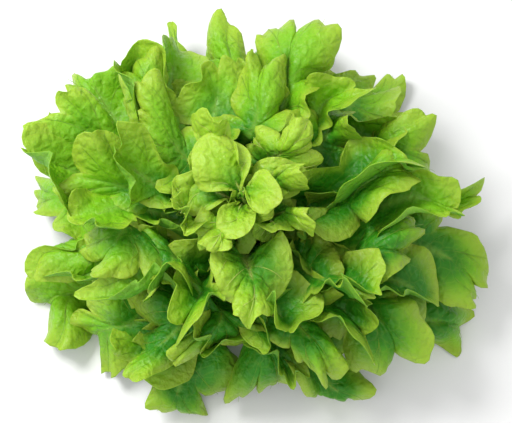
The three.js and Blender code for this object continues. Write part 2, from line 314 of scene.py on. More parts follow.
class Leaf:
    """One leaf of the head: its ring's values, varied by its own draws.

    Args:
        plan: The ring that the leaf is in.
        index: The leaf's place in the whole head, ring by ring.
        share: The leaf's place in its ring, from 0 to 1.
    """

    def __init__(self, plan: RingPlan, index: int, share: float) -> None:
        """Works out the leaf's own values."""
        azimuth = (FORM.first_azimuth + FORM.golden_angle * index
                   + vary(index, Draw.AZIMUTH, FORM.azimuth_spread))
        reach = 1 + plan.follows_reach * (FORM.reach_towards(azimuth) - 1)
        self.plan = plan
        self.index = index
        self.lobes = plan.lobes
        self.azimuth = math.radians(azimuth)
        self.radius = between(plan.radius, share)
        self.height = between(plan.height, share)
        self.midrib = (between(plan.midrib, share) * reach
                       * (1 + vary(index, Draw.MIDRIB, FORM.midrib_spread)))
        self.rise = math.radians(between(plan.rise, share)
                                 + vary(index, Draw.RISE, FORM.rise_spread))
        self.tip = math.radians(between(plan.tip, share)
                                + vary(index, Draw.TIP, FORM.tip_spread))
        self.lobe = between(plan.lobe, share)
        self.lift = math.radians(between(plan.lift, share))
        self.curl = math.radians(between(plan.curl, share))
        lean = self._per_lobe(Draw.LEAN, math.radians(plan.lean))
        self.lobe_lean = lean - FORM.lean_evened * lean.mean()
        self.lobe_twist = self._per_lobe(Draw.TWIST, math.radians(plan.twist))
        self.lobe_size = 1 + self._per_lobe(Draw.SIZE, FORM.size_spread)
        self.wave_phase = 2 * math.pi * draw(index, Draw.WAVE)

    @property
    def name(self) -> str:
        """The name of the leaf's piece."""
        return f"{self.plan.ring.value}_leaf_{self.index + 1:02d}"

    def _per_lobe(self, purpose: int, amount: float) -> np.ndarray:
        """A draw from -amount to amount for each lobe."""
        return np.array([vary(self.index, purpose + lobe, amount) for lobe in range(self.lobes)])

    def _along_lobes(self, values: np.ndarray, place: np.ndarray) -> np.ndarray:
        """A value given for each lobe, held over it and eased into the next at the notch."""
        at = np.clip(place - 0.5, 0, self.lobes - 1)
        lower = np.minimum(at.astype(int), self.lobes - 2)
        start, width = FORM.lobe_ease
        share = smooth(np.clip((at - lower - start) / width, 0, 1))
        return values[lower] * (1 - share) + values[lower + 1] * share

    def blade_veins(self, place: np.ndarray) -> Veins:
        """Side veins of the blade.

        Args:
            place: Where they are round the margin, from 0 at one side of the blade's foot,
                over its tip, to the number of lobes at the other side.

        Returns:
            The veins, in the same order.
        """
        side = (place - self.lobes / 2) / (self.lobes / 2)
        away = np.abs(side)
        lobe = np.minimum(place.astype(int), self.lobes - 1)
        across = np.abs(2 * (place - lobe) - 1)
        scallops = np.abs(np.sin(FORM.scallops_per_lobe * math.pi * (place - lobe)))
        return Veins(
            place=place,
            root=FORM.tip_root - (FORM.tip_root - FORM.last_root) * away ** FORM.root_power,
            heading=(np.sign(side) * math.radians(FORM.foot_heading)
                     * (1 - (1 - away) ** FORM.heading_power)),
            length=(self.lobe * (1 - FORM.taper * away ** FORM.taper_power)
                    * (1 - FORM.scallop * (1 - scallops) ** 2)
                    * (1 - FORM.notch * across ** FORM.notch_power)
                    * self._along_lobes(self.lobe_size, place)),
            slope=self.lift + self._along_lobes(self.lobe_lean, place),
            turn=(self.curl + self._along_lobes(self.lobe_twist, place)
                  - math.radians(FORM.cup) * across ** 2),
            wave=self.plan.wave * np.sin(2 * math.pi * FORM.waves_per_lobe * place
                                         + self.wave_phase),
        )

    def petiole_veins(self, share: np.ndarray, side: int) -> Veins:
        """Short side veins that give the petiole its width.

        Args:
            share: Shares of the way from the blade's foot down to the stem.
            side: -1 for the side where the blade's places start, 1 for the other.

        Returns:
            The veins, in the same order.
        """
        foot = self.blade_veins(np.array([0.0 if side < 0 else float(self.lobes)]))
        flare = (1 - share) ** FORM.flare_power
        turned = FORM.foot_heading - FORM.petiole_heading
        return Veins(
            place=np.full(share.shape, foot.place[0]) + side * share,
            root=FORM.last_root * (1 - share),
            heading=side * np.radians(FORM.petiole_heading + turned * flare),
            length=FORM.petiole_half_width + (foot.length - FORM.petiole_half_width) * flare,
            slope=foot.slope * flare,
            turn=foot.turn * flare,
            wave=foot.wave * flare,
        )

    def points(self, veins: Veins, share: np.ndarray, ruffle: float = 0.0) -> np.ndarray:
        """Points of the leaf's middle surface, in millimetres.

        Args:
            veins: The side veins, one a row.
            share: Shares of the way to the margin, one a column, or a row for each vein.
            ruffle: How deep the fine ruffles at the margin are.

        Returns:
            An array of rows, columns and coordinates.
        """
        v = np.broadcast_to(share, (len(veins.root), np.shape(share)[-1]))
        slope, turn = veins.slope[:, None], veins.turn[:, None]
        length, heading = veins.length[:, None], veins.heading[:, None]
        run, lift = arc(slope, turn, v)
        angle = slope + turn * v
        fine = np.zeros(len(veins.place))
        for depth, per_lobe, phase in FORM.ruffles:
            fine += depth * ruffle * np.sin(2 * math.pi * per_lobe * veins.place
                                            + phase * self.wave_phase)
        wave = veins.wave[:, None] * v ** 2 + fine[:, None] * v ** 3
        away = length * run - wave * np.sin(angle)
        lifted = length * lift + wave * np.cos(angle)

        along_share = np.maximum(veins.root[:, None] + away * np.cos(heading) / self.midrib, 0)
        along, up = arc(np.float64(self.rise), np.float64(self.tip - self.rise), along_share)
        steep = self.rise + (self.tip - self.rise) * along_share
        out = self.radius + self.midrib * along
        azimuth = self.azimuth + away * np.sin(heading) / np.hypot(out, FORM.turning_radius)
        reach = out - lifted * np.sin(steep)
        height = self.height + self.midrib * up + lifted * np.cos(steep)
        points = np.stack([reach * np.cos(azimuth), reach * np.sin(azimuth), height], -1)
        return FORM.lying_down(FORM.buckled(points))

    def surface(self, place: np.ndarray, share: np.ndarray) -> tuple[np.ndarray, np.ndarray]:
        """Points of the blade and the upward normals there.

        Args:
            place: Where each point's side vein is round the margin.
            share: How far along its vein each point is.

        Returns:
            The points and the normals, each an array of points and coordinates.
        """
        def at(where: np.ndarray, how_far: np.ndarray) -> np.ndarray:
            inside = np.clip(where, 0, self.lobes)
            return self.points(self.blade_veins(inside), how_far[:, None])[:, 0]

        step = 0.01
        outwards = at(place, share + step) - at(place, share)
        round_it = at(place + step, share + step) - at(place - step, share + step)
        up = np.cross(outwards, round_it)
        return at(place, share), unit(up)

    def midrib_line(self, root: np.ndarray) -> tuple[np.ndarray, np.ndarray]:
        """Points of the midrib and the upward normals there.

        Args:
            root: Shares of the way from the stem to the leaf's tip.

        Returns:
            The points and the normals, each an array of points and coordinates.
        """
        none, step = np.zeros(root.shape), 0.01
        across = Veins(none, root, none + math.pi / 2, none + 1.0, none, none, none)
        ahead = Veins(none, root + step, none, none, none, none, none)
        middle = self.points(across, np.array([0.0]))[:, 0]
        sideways = self.points(across, np.array([1.0]))[:, 0] - middle
        forwards = self.points(ahead, np.array([0.0]))[:, 0] - middle
        up = np.cross(forwards, sideways)
        return middle, unit(up)

    def pucker(self, place: np.ndarray, share: np.ndarray, length: np.ndarray) -> np.ndarray:
        """How far the blade bulges up between its veins, in millimetres.

        Args:
            place: Where each row's side vein is round the margin, one a row.
            share: Shares of the way to the margin, one a column.
            length: Each row's side vein length, one a row.

        Returns:
            An array of rows and columns.
        """
        w = place[:, None]
        distance = share[None, :] * length[:, None]
        bulges = FORM.bulges_per_lobe
        between_veins = np.abs(np.sin(bulges * math.pi * (w - 0.5 / bulges))) ** FORM.bulge_power
        depth, rate = FORM.stagger
        shifted = depth * np.sin(rate * w + self.wave_phase)
        cells = np.abs(np.sin(math.pi * (distance / FORM.blister_length + shifted)))
        inner = smooth(np.clip((distance - FORM.smooth_by_rib) / FORM.bulge_rises_over, 0, 1))
        calm, start = FORM.calm_margin
        outer = 1 - calm * smooth(np.clip((share[None, :] - start) / (1 - start), 0, 1))
        on_blade = ((w >= 0) & (w <= self.lobes)).astype(float)
        return self.plan.pucker * between_veins * (0.5 + 0.5 * cells) * inner * outer * on_blade


def head_of_leaves() -> list[Leaf]:
    """Every leaf of the head, ring by ring."""
    places = [(plan, i / (plan.leaves - 1)) for plan in RINGS for i in range(plan.leaves)]
    return [Leaf(plan, index, share) for index, (plan, share) in enumerate(places)]


def joined(parts: list[Veins]) -> Veins:
    """Groups of side veins as one group, in order."""
    fields = ("place", "root", "heading", "length", "slope", "turn", "wave")
    return Veins(*(np.concatenate([getattr(part, name) for part in parts]) for name in fields))


def linked(name: str, data: bpy.types.ID) -> bpy.types.Object:
    """A new object that holds the data, linked to the scene."""
    made = bpy.data.objects.new(name, data)
    bpy.context.scene.collection.objects.link(made)
    return made


def mesh_object(name: str, vertices: np.ndarray, faces: list) -> bpy.types.Object:
    """A smooth-shaded mesh object at the origin.

    Args:
        name: The piece's name.
        vertices: Points in metres.
        faces: Corners of each face, as places in vertices.

    Returns:
        The new object, linked to the scene.
    """
    mesh = bpy.data.meshes.new(name)
    mesh.from_pydata(vertices.tolist(), [], faces)
    mesh.shade_smooth()
    return linked(name, mesh)


def add_attribute(piece: bpy.types.Object, name: str, values: np.ndarray) -> None:
    """Gives each vertex of a piece a number that its material can read."""
    layer = piece.data.attributes.new(name, "FLOAT", "POINT")
    layer.data.foreach_set("value", np.asarray(values, np.float32).ravel())


@dataclass
class Room:
    """The solid model's box, in metres, which every finer piece stays inside."""

    low: np.ndarray
    high: np.ndarray
    easing: float = 0.004
    kept: float = 0.95
    off_floor: float = 0.0002

    @classmethod
    def of_frame(cls) -> Room:
        """The box of the whole solid model."""
        low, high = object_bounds()
        return cls(np.array(low, float), np.array(high, float))

    def held(self, points: np.ndarray) -> np.ndarray:
        """Points in metres, with those close to the box's sides or past them eased back in."""
        inside = points.copy()
        for axis in range(3):
            top = self.high[axis] - self.easing
            over = np.maximum(inside[:, axis] - top, 0)
            inside[:, axis] -= over - self._eased(over)
            if axis < 2:
                bottom = self.low[axis] + self.easing
                under = np.maximum(bottom - inside[:, axis], 0)
                inside[:, axis] += under - self._eased(under)
        inside[:, 2] = np.maximum(inside[:, 2], self.low[2] + self.off_floor)
        return inside

    def _eased(self, past: np.ndarray) -> np.ndarray:
        """How far points may go on that are this far past where the easing starts."""
        return self.easing * self.kept * (1 - np.exp(-past / self.easing))


@dataclass
class LeafBlade:
    """A leaf's blade and petiole: one closed skin, thick at the midrib and thin at the margin.

    Thicknesses are in millimetres.
    """

    leaf: Leaf
    room: Room
    samples_per_lobe: int = 18
    fewest_samples: int = 84
    petiole_samples: int = 9
    blade_thickness: float = 0.7
    margin_thickness: float = 0.35
    rib_at_stem: float = 5.0
    rib_at_blade: float = 3.0
    rib_half_width: float = 2.4
    rib_over_blade: float = 0.2
    thinning_power: int = 3
    ruffle: float = 4.2
    columns: tuple[float, ...] = (
        0, 0.025, 0.055, 0.09, 0.135, 0.19, 0.25, 0.31, 0.37, 0.43, 0.49, 0.55,
        0.61, 0.67, 0.73, 0.79, 0.85, 0.9, 0.945, 0.98, 1,
    )

    def build(self) -> bpy.types.Object:
        """Makes the leaf's mesh, with what its material needs to know at each point."""
        leaf = self.leaf
        down = np.linspace(0, 1, self.petiole_samples + 1)[1:]
        samples = max(leaf.lobes * self.samples_per_lobe, self.fewest_samples)
        round_margin = np.linspace(0, leaf.lobes, samples + 1)
        veins = joined([
            leaf.petiole_veins(down[::-1], -1),
            leaf.blade_veins(round_margin),
            leaf.petiole_veins(down, 1),
        ])
        share = np.array(self.columns)
        grid = leaf.points(veins, share, self.ruffle)
        corners, used = self._corners(len(veins.root), len(share))
        middle = np.zeros((used, 3))
        middle[corners] = grid
        faces = self._sheet(corners)
        up = self._normals(middle, faces)

        thick = self._thickness(veins, share)
        bulge = leaf.pucker(veins.place, share, veins.length)
        above, below, raised = np.zeros(used), np.zeros(used), np.zeros(used)
        thin = np.minimum(self.blade_thickness, thick)
        above[corners] = thin / 2
        below[corners] = thick - thin / 2
        raised[corners] = bulge
        upper = middle + up * (raised + above)[:, None]
        lower = middle + up * (raised - below)[:, None]
        vertices = self.room.held(np.concatenate([upper, lower]) * MM)
        walls = self._walls(corners, used)
        all_faces = np.concatenate([faces, faces[:, ::-1] + used, walls])
        piece = mesh_object(leaf.name, vertices, all_faces.tolist())
        self._describe(piece, veins, share, corners, used)
        return piece

    def _corners(self, rows: int, columns: int) -> tuple[np.ndarray, int]:
        """Which vertex each row and column uses: both halves share those of the midrib.

        Args:
            rows: The number of side veins, which is odd.
            columns: The number of points on each.

        Returns:
            The vertex numbers by row and column, and how many there are.
        """
        on_rib = rows // 2 + 1
        corners = np.zeros((rows, columns), int)
        corners[:, 0] = np.minimum(np.arange(rows), rows - 1 - np.arange(rows))
        corners[:, 1:] = on_rib + np.arange(rows * (columns - 1)).reshape(rows, columns - 1)
        return corners, on_rib + rows * (columns - 1)

    def _sheet(self, corners: np.ndarray) -> np.ndarray:
        """The faces of the upper side, seen from above in anticlockwise order."""
        a, b = corners[:-1, :-1], corners[:-1, 1:]
        c, d = corners[1:, 1:], corners[1:, :-1]
        return np.stack([a, b, c, d], -1).reshape(-1, 4)

    def _normals(self, points: np.ndarray, faces: np.ndarray) -> np.ndarray:
        """The sheet's upward normal at each of its points."""
        a, b, c, d = (points[faces[:, k]] for k in range(4))
        each = np.cross(c - a, d - b)
        normals = np.zeros(points.shape)
        for k in range(4):
            np.add.at(normals, faces[:, k], each)
        return unit(normals, 1e-12)

    def _walls(self, corners: np.ndarray, used: int) -> np.ndarray:
        """The thin faces round the margin and the petiole's foot."""
        margin = list(corners[:, -1])
        foot = list(corners[-1, -2::-1]) + list(corners[0, 1:-1])
        edge = np.array(margin + foot)
        after = np.roll(edge, -1)
        return np.stack([after, edge, edge + used, after + used], -1)

    def _thickness(self, veins: Veins, share: np.ndarray) -> np.ndarray:
        """The leaf's thickness by row and column, in millimetres."""
        down = np.clip(veins.root / FORM.last_root, 0, 1)
        up = np.clip((veins.root - FORM.last_root) / (FORM.tip_root - FORM.last_root), 0, 1)
        rib = between((self.rib_at_stem, self.rib_at_blade), down)
        rib = rib + (self.blade_thickness + self.rib_over_blade - rib) * up
        distance = share[None, :] * veins.length[:, None]
        thinning = share ** self.thinning_power
        blade = between((self.blade_thickness, self.margin_thickness), thinning)[None, :]
        return blade + (rib[:, None] - blade) * np.exp(-(distance / self.rib_half_width) ** 2)

    def _describe(self, piece: bpy.types.Object, veins: Veins, share: np.ndarray,
                  corners: np.ndarray, used: int) -> None:
        """Writes what the leaf's material reads at each point.

        Args:
            piece: The leaf's object.
            veins: Its side veins, one a row.
            share: The columns' shares of the way to the margin.
            corners: The vertex of each row and column.
            used: How many vertices each side of the leaf has.
        """
        from_rib, place, stalk = np.zeros(used), np.zeros(used), np.zeros(used)
        from_rib[corners] = np.broadcast_to(share, corners.shape)
        place[corners] = veins.place[:, None]
        stalk[corners] = np.clip(1 - veins.root / FORM.last_root, 0, 1)[:, None]
        add_attribute(piece, "from_rib", np.tile(from_rib, 2))
        add_attribute(piece, "margin_place", np.tile(place, 2))
        add_attribute(piece, "stalk", np.tile(stalk, 2))
        add_attribute(piece, "under", np.repeat([0.0, 1.0], used))
        add_attribute(piece, "tint", np.full(2 * used, draw(self.leaf.index, Draw.TINT)))

    def dress(self, piece: bpy.types.Object, finish: bpy.types.Material, slot: str) -> None:
        """Gives the leaf its finish and its place in the part."""
        piece.data.materials.append(finish)
        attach(piece, BODY)
        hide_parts(self.leaf.plan.node.value)


@dataclass
class VeinNet:
    """The raised midribs and side veins of one ring's leaves, swept along their lines.

    Sizes are in millimetres. Each of a lobe's branches is where it starts and ends, from the
    lobe's middle, its shares of the way to the margin there, and its weight.
    """

    ring: Ring
    leaves: list[Leaf]
    room: Room
    rib_radius: float = 1.3
    rib_tip_radius: float = 0.45
    side_radius: float = 0.42
    side_taper: float = 0.7
    proud: float = 0.1
    half_blade: float = 0.35
    half_blade_aside: float = 0.33
    deepest: float = -0.3
    first_root: float = 0.02
    sides: int = 5
    steps: int = 10
    branches: tuple[tuple[float, float, float, float, float], ...] = (
        (0.0, 0.0, 0.0, 0.93, 1.0),
        (-1 / 3, -1 / 3, 0.0, 0.84, 0.7), (0.0, -0.2, 0.42, 0.9, 0.55),
        (1 / 3, 1 / 3, 0.0, 0.84, 0.7), (0.0, 0.2, 0.42, 0.9, 0.55),
    )

    def build(self, finish: bpy.types.Material) -> bpy.types.Object:
        """Sweeps a tapered round section along every vein line.

        Args:
            finish: The veins' material.

        Returns:
            The veins of all the ring's leaves as one plain mesh object.
        """
        lines = [line for leaf in self.leaves for line in self._lines(leaf)]
        points = self.room.held(np.concatenate([line[0] for line in lines]) * MM)
        radii = np.concatenate([line[1] for line in lines])
        counts = [len(line[0]) for line in lines]
        starts = np.concatenate([[0], np.cumsum(counts)[:-1]])
        edges = [(s + k, s + k + 1) for s, n in zip(starts, counts) for k in range(n - 1)]
        mesh = bpy.data.meshes.new(f"{self.ring.value}_vein_lines")
        mesh.from_pydata(points.tolist(), [tuple(map(int, edge)) for edge in edges], [])
        guide = linked(f"{self.ring.value}_vein_lines", mesh)
        add_attribute(guide, "vein_radius", radii * MM)
        return swept(guide, f"{self.ring.value}_veins", self.sides, finish)

    def _lines(self, leaf: Leaf) -> list[tuple[np.ndarray, np.ndarray]]:
        """The vein lines of a leaf, each as points and radii in millimetres."""
        root = np.linspace(self.first_root, FORM.tip_root, 2 * self.steps)
        points, up = leaf.midrib_line(root)
        radius = between((self.rib_radius, self.rib_tip_radius), root / FORM.tip_root)
        lines = [(points - up * (radius - self.half_blade - self.proud)[:, None], radius)]
        for lobe in range(leaf.lobes):
            middle = lobe + 0.5
            for start, end, near, far, weight in self.branches:
                places = (middle + start, middle + end)
                lines.append(self._side_line(leaf, places, (near, far), weight))
        return lines

    def _side_line(self, leaf: Leaf, places: Pair, shares: Pair,
                   weight: float) -> tuple[np.ndarray, np.ndarray]:
        """One side vein or fork.

        Args:
            leaf: The leaf that it is on.
            places: Its places round the margin, at its start and its end.
            shares: Its shares of the way to the margin, at its start and its end.
            weight: Its thickness as a share of a main side vein's.

        Returns:
            Its points and radii, in millimetres.
        """
        t = np.linspace(0, 1, self.steps)
        place, share = between(places, smooth(t)), between(shares, t)
        points, up = leaf.surface(place, share)
        length = leaf.blade_veins(place).length
        bulge = np.array([
            leaf.pucker(place[k:k + 1], share[k:k + 1], length[k:k + 1])[0, 0]
            for k in range(self.steps)
        ])
        radius = self.side_radius * weight * (1 - self.side_taper * share)
        sink = bulge - np.maximum(radius - self.half_blade_aside - self.proud, self.deepest)
        return points + up * sink[:, None], radius

    def dress(self, piece: bpy.types.Object, slot: str) -> None:
        """Gives the veins their place in the part."""
        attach(piece, BODY)
        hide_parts(self.leaves[0].plan.node.value)


def sweep_tree() -> bpy.types.NodeTree:
    """The tree that sweeps a round section along a mesh's edges, tapered by vein_radius."""
    tree = bpy.data.node_groups.get("vein_sweep")
    if tree:
        return tree
    tree = bpy.data.node_groups.new("vein_sweep", "GeometryNodeTree")
    for name, kind in (("Lines", "Geometry"), ("Sides", "Int"), ("Thickness", "Float"),
                       ("Finish", "Material")):
        tree.interface.new_socket(name, in_out="INPUT", socket_type=f"NodeSocket{kind}")
    tree.interface.new_socket("Veins", in_out="OUTPUT", socket_type="NodeSocketGeometry")
    inputs = tree.nodes.new("NodeGroupInput")
    outputs = tree.nodes.new("NodeGroupOutput")
    radius = tree.nodes.new("GeometryNodeInputNamedAttribute")
    radius.data_type = "FLOAT"
    radius.inputs["Name"].default_value = "vein_radius"
    scale = tree.nodes.new("ShaderNodeMath")
    scale.operation = "MULTIPLY"
    curve = tree.nodes.new("GeometryNodeMeshToCurve")
    section = tree.nodes.new("GeometryNodeCurvePrimitiveCircle")
    section.inputs["Radius"].default_value = 1.0
    sweep = tree.nodes.new("GeometryNodeCurveToMesh")
    sweep.inputs["Fill Caps"].default_value = True
    shade = tree.nodes.new("GeometryNodeSetShadeSmooth")
    whole = tree.nodes.new("GeometryNodeRealizeInstances")
    paint = tree.nodes.new("GeometryNodeSetMaterial")
    for source, out, target, into in (
        (inputs, "Lines", curve, "Mesh"), (curve, "Curve", sweep, "Curve"),
        (inputs, "Sides", section, "Resolution"), (section, "Curve", sweep, "Profile Curve"),
        (radius, "Attribute", scale, 0), (inputs, "Thickness", scale, 1),
        (scale, 0, sweep, "Scale"), (sweep, "Mesh", shade, "Geometry"),
        (shade, "Geometry", whole, "Geometry"), (whole, "Geometry", paint, "Geometry"),
        (inputs, "Finish", paint, "Material"), (paint, "Geometry", outputs, "Veins"),
    ):
        tree.links.new(source.outputs[out], target.inputs[into])
    return tree


def swept(guide: bpy.types.Object, name: str, sides: int,
          finish: bpy.types.Material) -> bpy.types.Object:
    """Runs the sweep on a guide and keeps its result as a plain mesh object.

    Args:
        guide: The object whose edges are the lines. It is removed.
        name: The new piece's name.
        sides: How many sides the round section has.
        finish: The material of the result.

    Returns:
        The new piece.
    """
    tree = sweep_tree()
    wanted = {"Sides": sides, "Thickness": 1.0, "Finish": finish}
    run = guide.modifiers.new("sweep", "NODES")
    run.node_group = tree
    for socket in tree.interface.items_tree:
        if socket.name in wanted:
            run[socket.identifier] = wanted[socket.name]
    bpy.context.view_layer.update()
    ready = guide.evaluated_get(bpy.context.evaluated_depsgraph_get())
    mesh = bpy.data.meshes.new_from_object(ready)
    mesh.name = name
    piece = linked(name, mesh)
    bpy.data.objects.remove(guide, do_unlink=True)
    return piece


@dataclass
class CutStem:
    """The short stem under the head, with its cut face and the scars of trimmed leaves.

    Sizes are in metres and come from the solid stem. Its side is wider than the cut by the
    first of each wider pair at the second's height, and narrower by the first of each
    narrower pair at the second's depth below the top.
    """

    sides: int = 96
    levels: int = 40
    cut_radius: float = 0.014
    clear: float = 0.0004
    wider: tuple[Pair, ...] = ((0.0, 0.0), (0.003, 0.006), (0.002, 0.022))
    narrower: tuple[Pair, ...] = ((0.003, 0.006), (0.008, 0.0004))
    scar_depth: float = 0.0007
    scars_round: int = 5
    scar_slant: float = 90
    scars_from: float = 0.004
    cut_hollow: float = 0.0004
    face_rings: tuple[float, ...] = (0.2, 0.42, 0.62, 0.8, 0.94)

    def build(self) -> bpy.types.Object:
        """Turns the stem's outline, dented a little where leaves were trimmed off."""
        top = float(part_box(Node.STEM.value)[1][2])
        side = [self._ring(radius, height) for radius, height in self._outline(top)]
        face = [side[0] * np.array([share, share, 1.0])
                + np.array([0, 0, self.cut_hollow * (1 - share ** 2)])
                for share in self.face_rings]
        middles = [[[0, 0, self.cut_hollow]], [[0, 0, top - self.clear / 2]]]
        vertices = np.concatenate(face + side + middles)
        piece = mesh_object("cut_stem", vertices, self._faces(len(face + side)))
        cut = np.zeros(len(vertices))
        cut[: self.sides * (len(face) + 1)] = 1
        cut[-2] = 1
        add_attribute(piece, "cut", cut)
        return piece

    def _outline(self, top: float) -> list[Pair]:
        """Radius and height pairs up the stem's side, from the cut face to its top."""
        knots = [(self.cut_radius + more, height) for more, height in self.wider]
        knots += [(self.cut_radius - less, top - depth) for less, depth in self.narrower]
        heights = np.linspace(0, top - self.clear, self.levels)
        widths = np.interp(heights, [k[1] for k in knots], [k[0] for k in knots])
        return list(zip(widths.tolist(), heights.tolist()))

    def _ring(self, radius: float, height: float) -> np.ndarray:
        """The points round the stem at a height, clear of the solid stem's side."""
        angles = np.linspace(0, 2 * math.pi, self.sides, endpoint=False)
        scars = np.sin(self.scars_round * angles + self.scar_slant * height)
        dent = self.scar_depth * (0.6 + 0.4 * scars)
        around = radius - self.clear - dent * min(1.0, height / self.scars_from)
        return np.stack([
            around * np.cos(angles), around * np.sin(angles), np.full(self.sides, height),
        ], -1)

    def _faces(self, rings: int) -> list[tuple[int, ...]]:
        """The quads between neighbouring rings, and the fans that close both ends."""
        after = [(side + 1) % self.sides for side in range(self.sides)]
        faces = []
        for first in range(0, (rings - 1) * self.sides, self.sides):
            for side in range(self.sides):
                a, b = first + side, first + after[side]
                faces.append((a, b, b + self.sides, a + self.sides))
        last, middle = (rings - 1) * self.sides, rings * self.sides
        for side in range(self.sides):
            faces.append((after[side], side, middle))
            faces.append((last + side, last + after[side], middle + 1))
        return faces

    def dress(self, piece: bpy.types.Object, finish: bpy.types.Material) -> None:
        """Gives the stem its finish and its place in the part."""
        piece.data.materials.append(finish)
        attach(piece, BODY)
        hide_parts(Node.STEM.value)


class Tree:
    """A node tree under construction, with short calls for its usual nodes."""

    def __init__(self, tree: bpy.types.NodeTree) -> None:
        """Starts on an empty tree."""
        self.tree = tree
        self.tree.nodes.clear()

    @classmethod
    def effect(cls, name: str, inputs: dict[str, str], outputs: dict[str, str]) -> Tree:
        """A new shader node group.

        Args:
            name: The group's name.
            inputs: The kind of each input socket by name: Color or Float.
            outputs: The kind of each output socket by name.

        Returns:
            The group's tree, with its group_in and group_out nodes made.
        """
        tree = cls(bpy.data.node_groups.new(name, "ShaderNodeTree"))
        for direction, sockets in (("INPUT", inputs), ("OUTPUT", outputs)):
            for label, kind in sockets.items():
                tree.tree.interface.new_socket(
                    label, in_out=direction, socket_type=f"NodeSocket{kind}")
        tree.group_in = tree.node("NodeGroupInput")
        tree.group_out = tree.node("NodeGroupOutput")
        return tree

    def node(self, kind: str, **settings: object) -> bpy.types.Node:
        """A new node with its properties set."""
        made = self.tree.nodes.new(kind)
        for name, value in settings.items():
            setattr(made, name, value)
        return made

    def wire(self, source: object, target: bpy.types.NodeSocket) -> None:
        """Links a socket to an input, or sets the input to a constant."""
        if isinstance(source, bpy.types.NodeSocket):
            self.tree.links.new(source, target)
        elif isinstance(source, tuple) and len(source) == 3 and target.type == "RGBA":
            target.default_value = (*source, 1.0)
        else:
            target.default_value = source

    def math(self, operation: str, *values: object) -> bpy.types.NodeSocket:
        """The result of a sum on one or two values."""
        made = self.node("ShaderNodeMath", operation=operation)
        for place, value in enumerate(values):
            self.wire(value, made.inputs[place])
        return made.outputs[0]

    def total(self, values: tuple[object, ...], shares: Numbers) -> bpy.types.NodeSocket:
        """The sum of values, each times its share."""
        sums = [self.math("MULTIPLY", value, share) for value, share in zip(values, shares)]
        while len(sums) > 1:
            sums = [self.math("ADD", sums[0], sums[1]), *sums[2:]]
        return sums[0]

    def mix(self, share: object, first: object, second: object) -> bpy.types.NodeSocket:
        """A colour between two others."""
        made = self.node("ShaderNodeMix", data_type="RGBA")
        self.wire(share, made.inputs[0])
        self.wire(first, made.inputs[6])
        self.wire(second, made.inputs[7])
        return made.outputs[2]

    def ramp(self, value: object, low: float, high: float, to_low: float = 0.0,
             to_high: float = 1.0) -> bpy.types.NodeSocket:
        """A value's place between low and high, eased, as a value from to_low to to_high."""
        made = self.node("ShaderNodeMapRange", interpolation_type="SMOOTHSTEP")
        for place, given in enumerate((value, low, high, to_low, to_high)):
            self.wire(given, made.inputs[place])
        return made.outputs[0]

    def attribute(self, name: str) -> bpy.types.NodeSocket:
        """The value that a mesh carries under a name."""
        return self.node("ShaderNodeAttribute", attribute_name=name).outputs["Fac"]

    def object_place(self) -> bpy.types.NodeSocket:
        """The shaded point in the object's own coordinates, in metres."""
        return self.node("ShaderNodeTexCoord").outputs["Object"]

    def noise(self, scale: object, detail: float = 3.0, rough: float = 0.5) -> bpy.types.NodeSocket:
        """Cloudy noise from 0 to 1 over the object."""
        made = self.node("ShaderNodeTexNoise")
        self.wire(self.object_place(), made.inputs["Vector"])
        self.wire(scale, made.inputs["Scale"])
        self.wire(detail, made.inputs["Detail"])
        self.wire(rough, made.inputs["Roughness"])
        return made.outputs["Fac"]

    def cells(self, scale: float) -> bpy.types.NodeSocket:
        """The distance from the edges of a net of cells."""
        made = self.node("ShaderNodeTexVoronoi", feature="DISTANCE_TO_EDGE")
        self.wire(self.object_place(), made.inputs["Vector"])
        self.wire(scale, made.inputs["Scale"])
        return made.outputs["Distance"]

    def use(self, group: Tree, **given: object) -> bpy.types.Node:
        """Places a shader node group with its inputs set."""
        made = self.node("ShaderNodeGroup", node_tree=group.tree)
        for name, value in given.items():
            self.wire(value, made.inputs[name.replace("_", " ")])
        return made


@dataclass(frozen=True)
class SkinForm:
    """What the shader effects share.

    A noise is its scale a metre, its detail and its roughness. A ramp is the range that a
    value runs through and, where that isn't 0 to 1, the range that it becomes. Shares are
    the weights of what is added up, in order.
    """

    clouds: Numbers = (38.0, 3.0)
    mottle: Numbers = (160.0, 4.0, 0.6)
    cloud_shares: Numbers = (0.75, 0.25)
    # Painted shade: the next three fields place a ball round the head's middle, moved towards its
    # lower right. Leaves inside it are painted a deeper green, those outside it paler.
    painted_shade_offset: Numbers = (-0.18, 0.16, -0.26)
    painted_shade_scale: Numbers = (6.6, 7.6, 9.2)
    outer: Numbers = (0.55, 1.0)
    # Painted shade: each blade is painted deeper green near its midrib, where it lies under other
    # leaves, and paler towards its margin.
    outwards: Numbers = (0.1, 0.9, -0.14, 0.14)
    tone_shares: Numbers = (0.5, 0.5, 0.26, 1.0)
    fresh: Numbers = (0.40, 0.86)
    net_scale: float = 150.0
    net_line: Numbers = (0.0, 0.09, 1.0, 0.0)
    net_fade: Numbers = (0.75, 1.0, 1.0, 0.3)
    # The leaf's own paler margin, drawn wide over the outer half of the blade, so that it also
    # paints light on the open flaps.
    margin: Numbers = (0.45, 1.0, 0.0, 0.70)
    near_rib: Numbers = (0.0, 0.17, 0.62, 0.0)
    stalk: Numbers = (0.1, 0.75)
    under_share: float = 0.55
    gloss: Numbers = (0.3, 0.7, 0.34, 0.5)
    under_gloss: float = 0.12
    blister_scale: float = 160.0
    blisters: Numbers = (0.0, 0.35)
    swells: Numbers = (190.0, 3.0, 0.5)
    grain: Numbers = (900.0, 3.0, 0.6)
    relief_shares: Numbers = (0.75, 2.6, 0.2)
    flesh_detail: float = 4.0
    flesh_fine: Numbers = (1400.0, 2.0)
    flesh_streaks: Numbers = (0.35, 0.7)
    flesh_shares: Numbers = (1.0, 0.3)


SKIN = SkinForm()


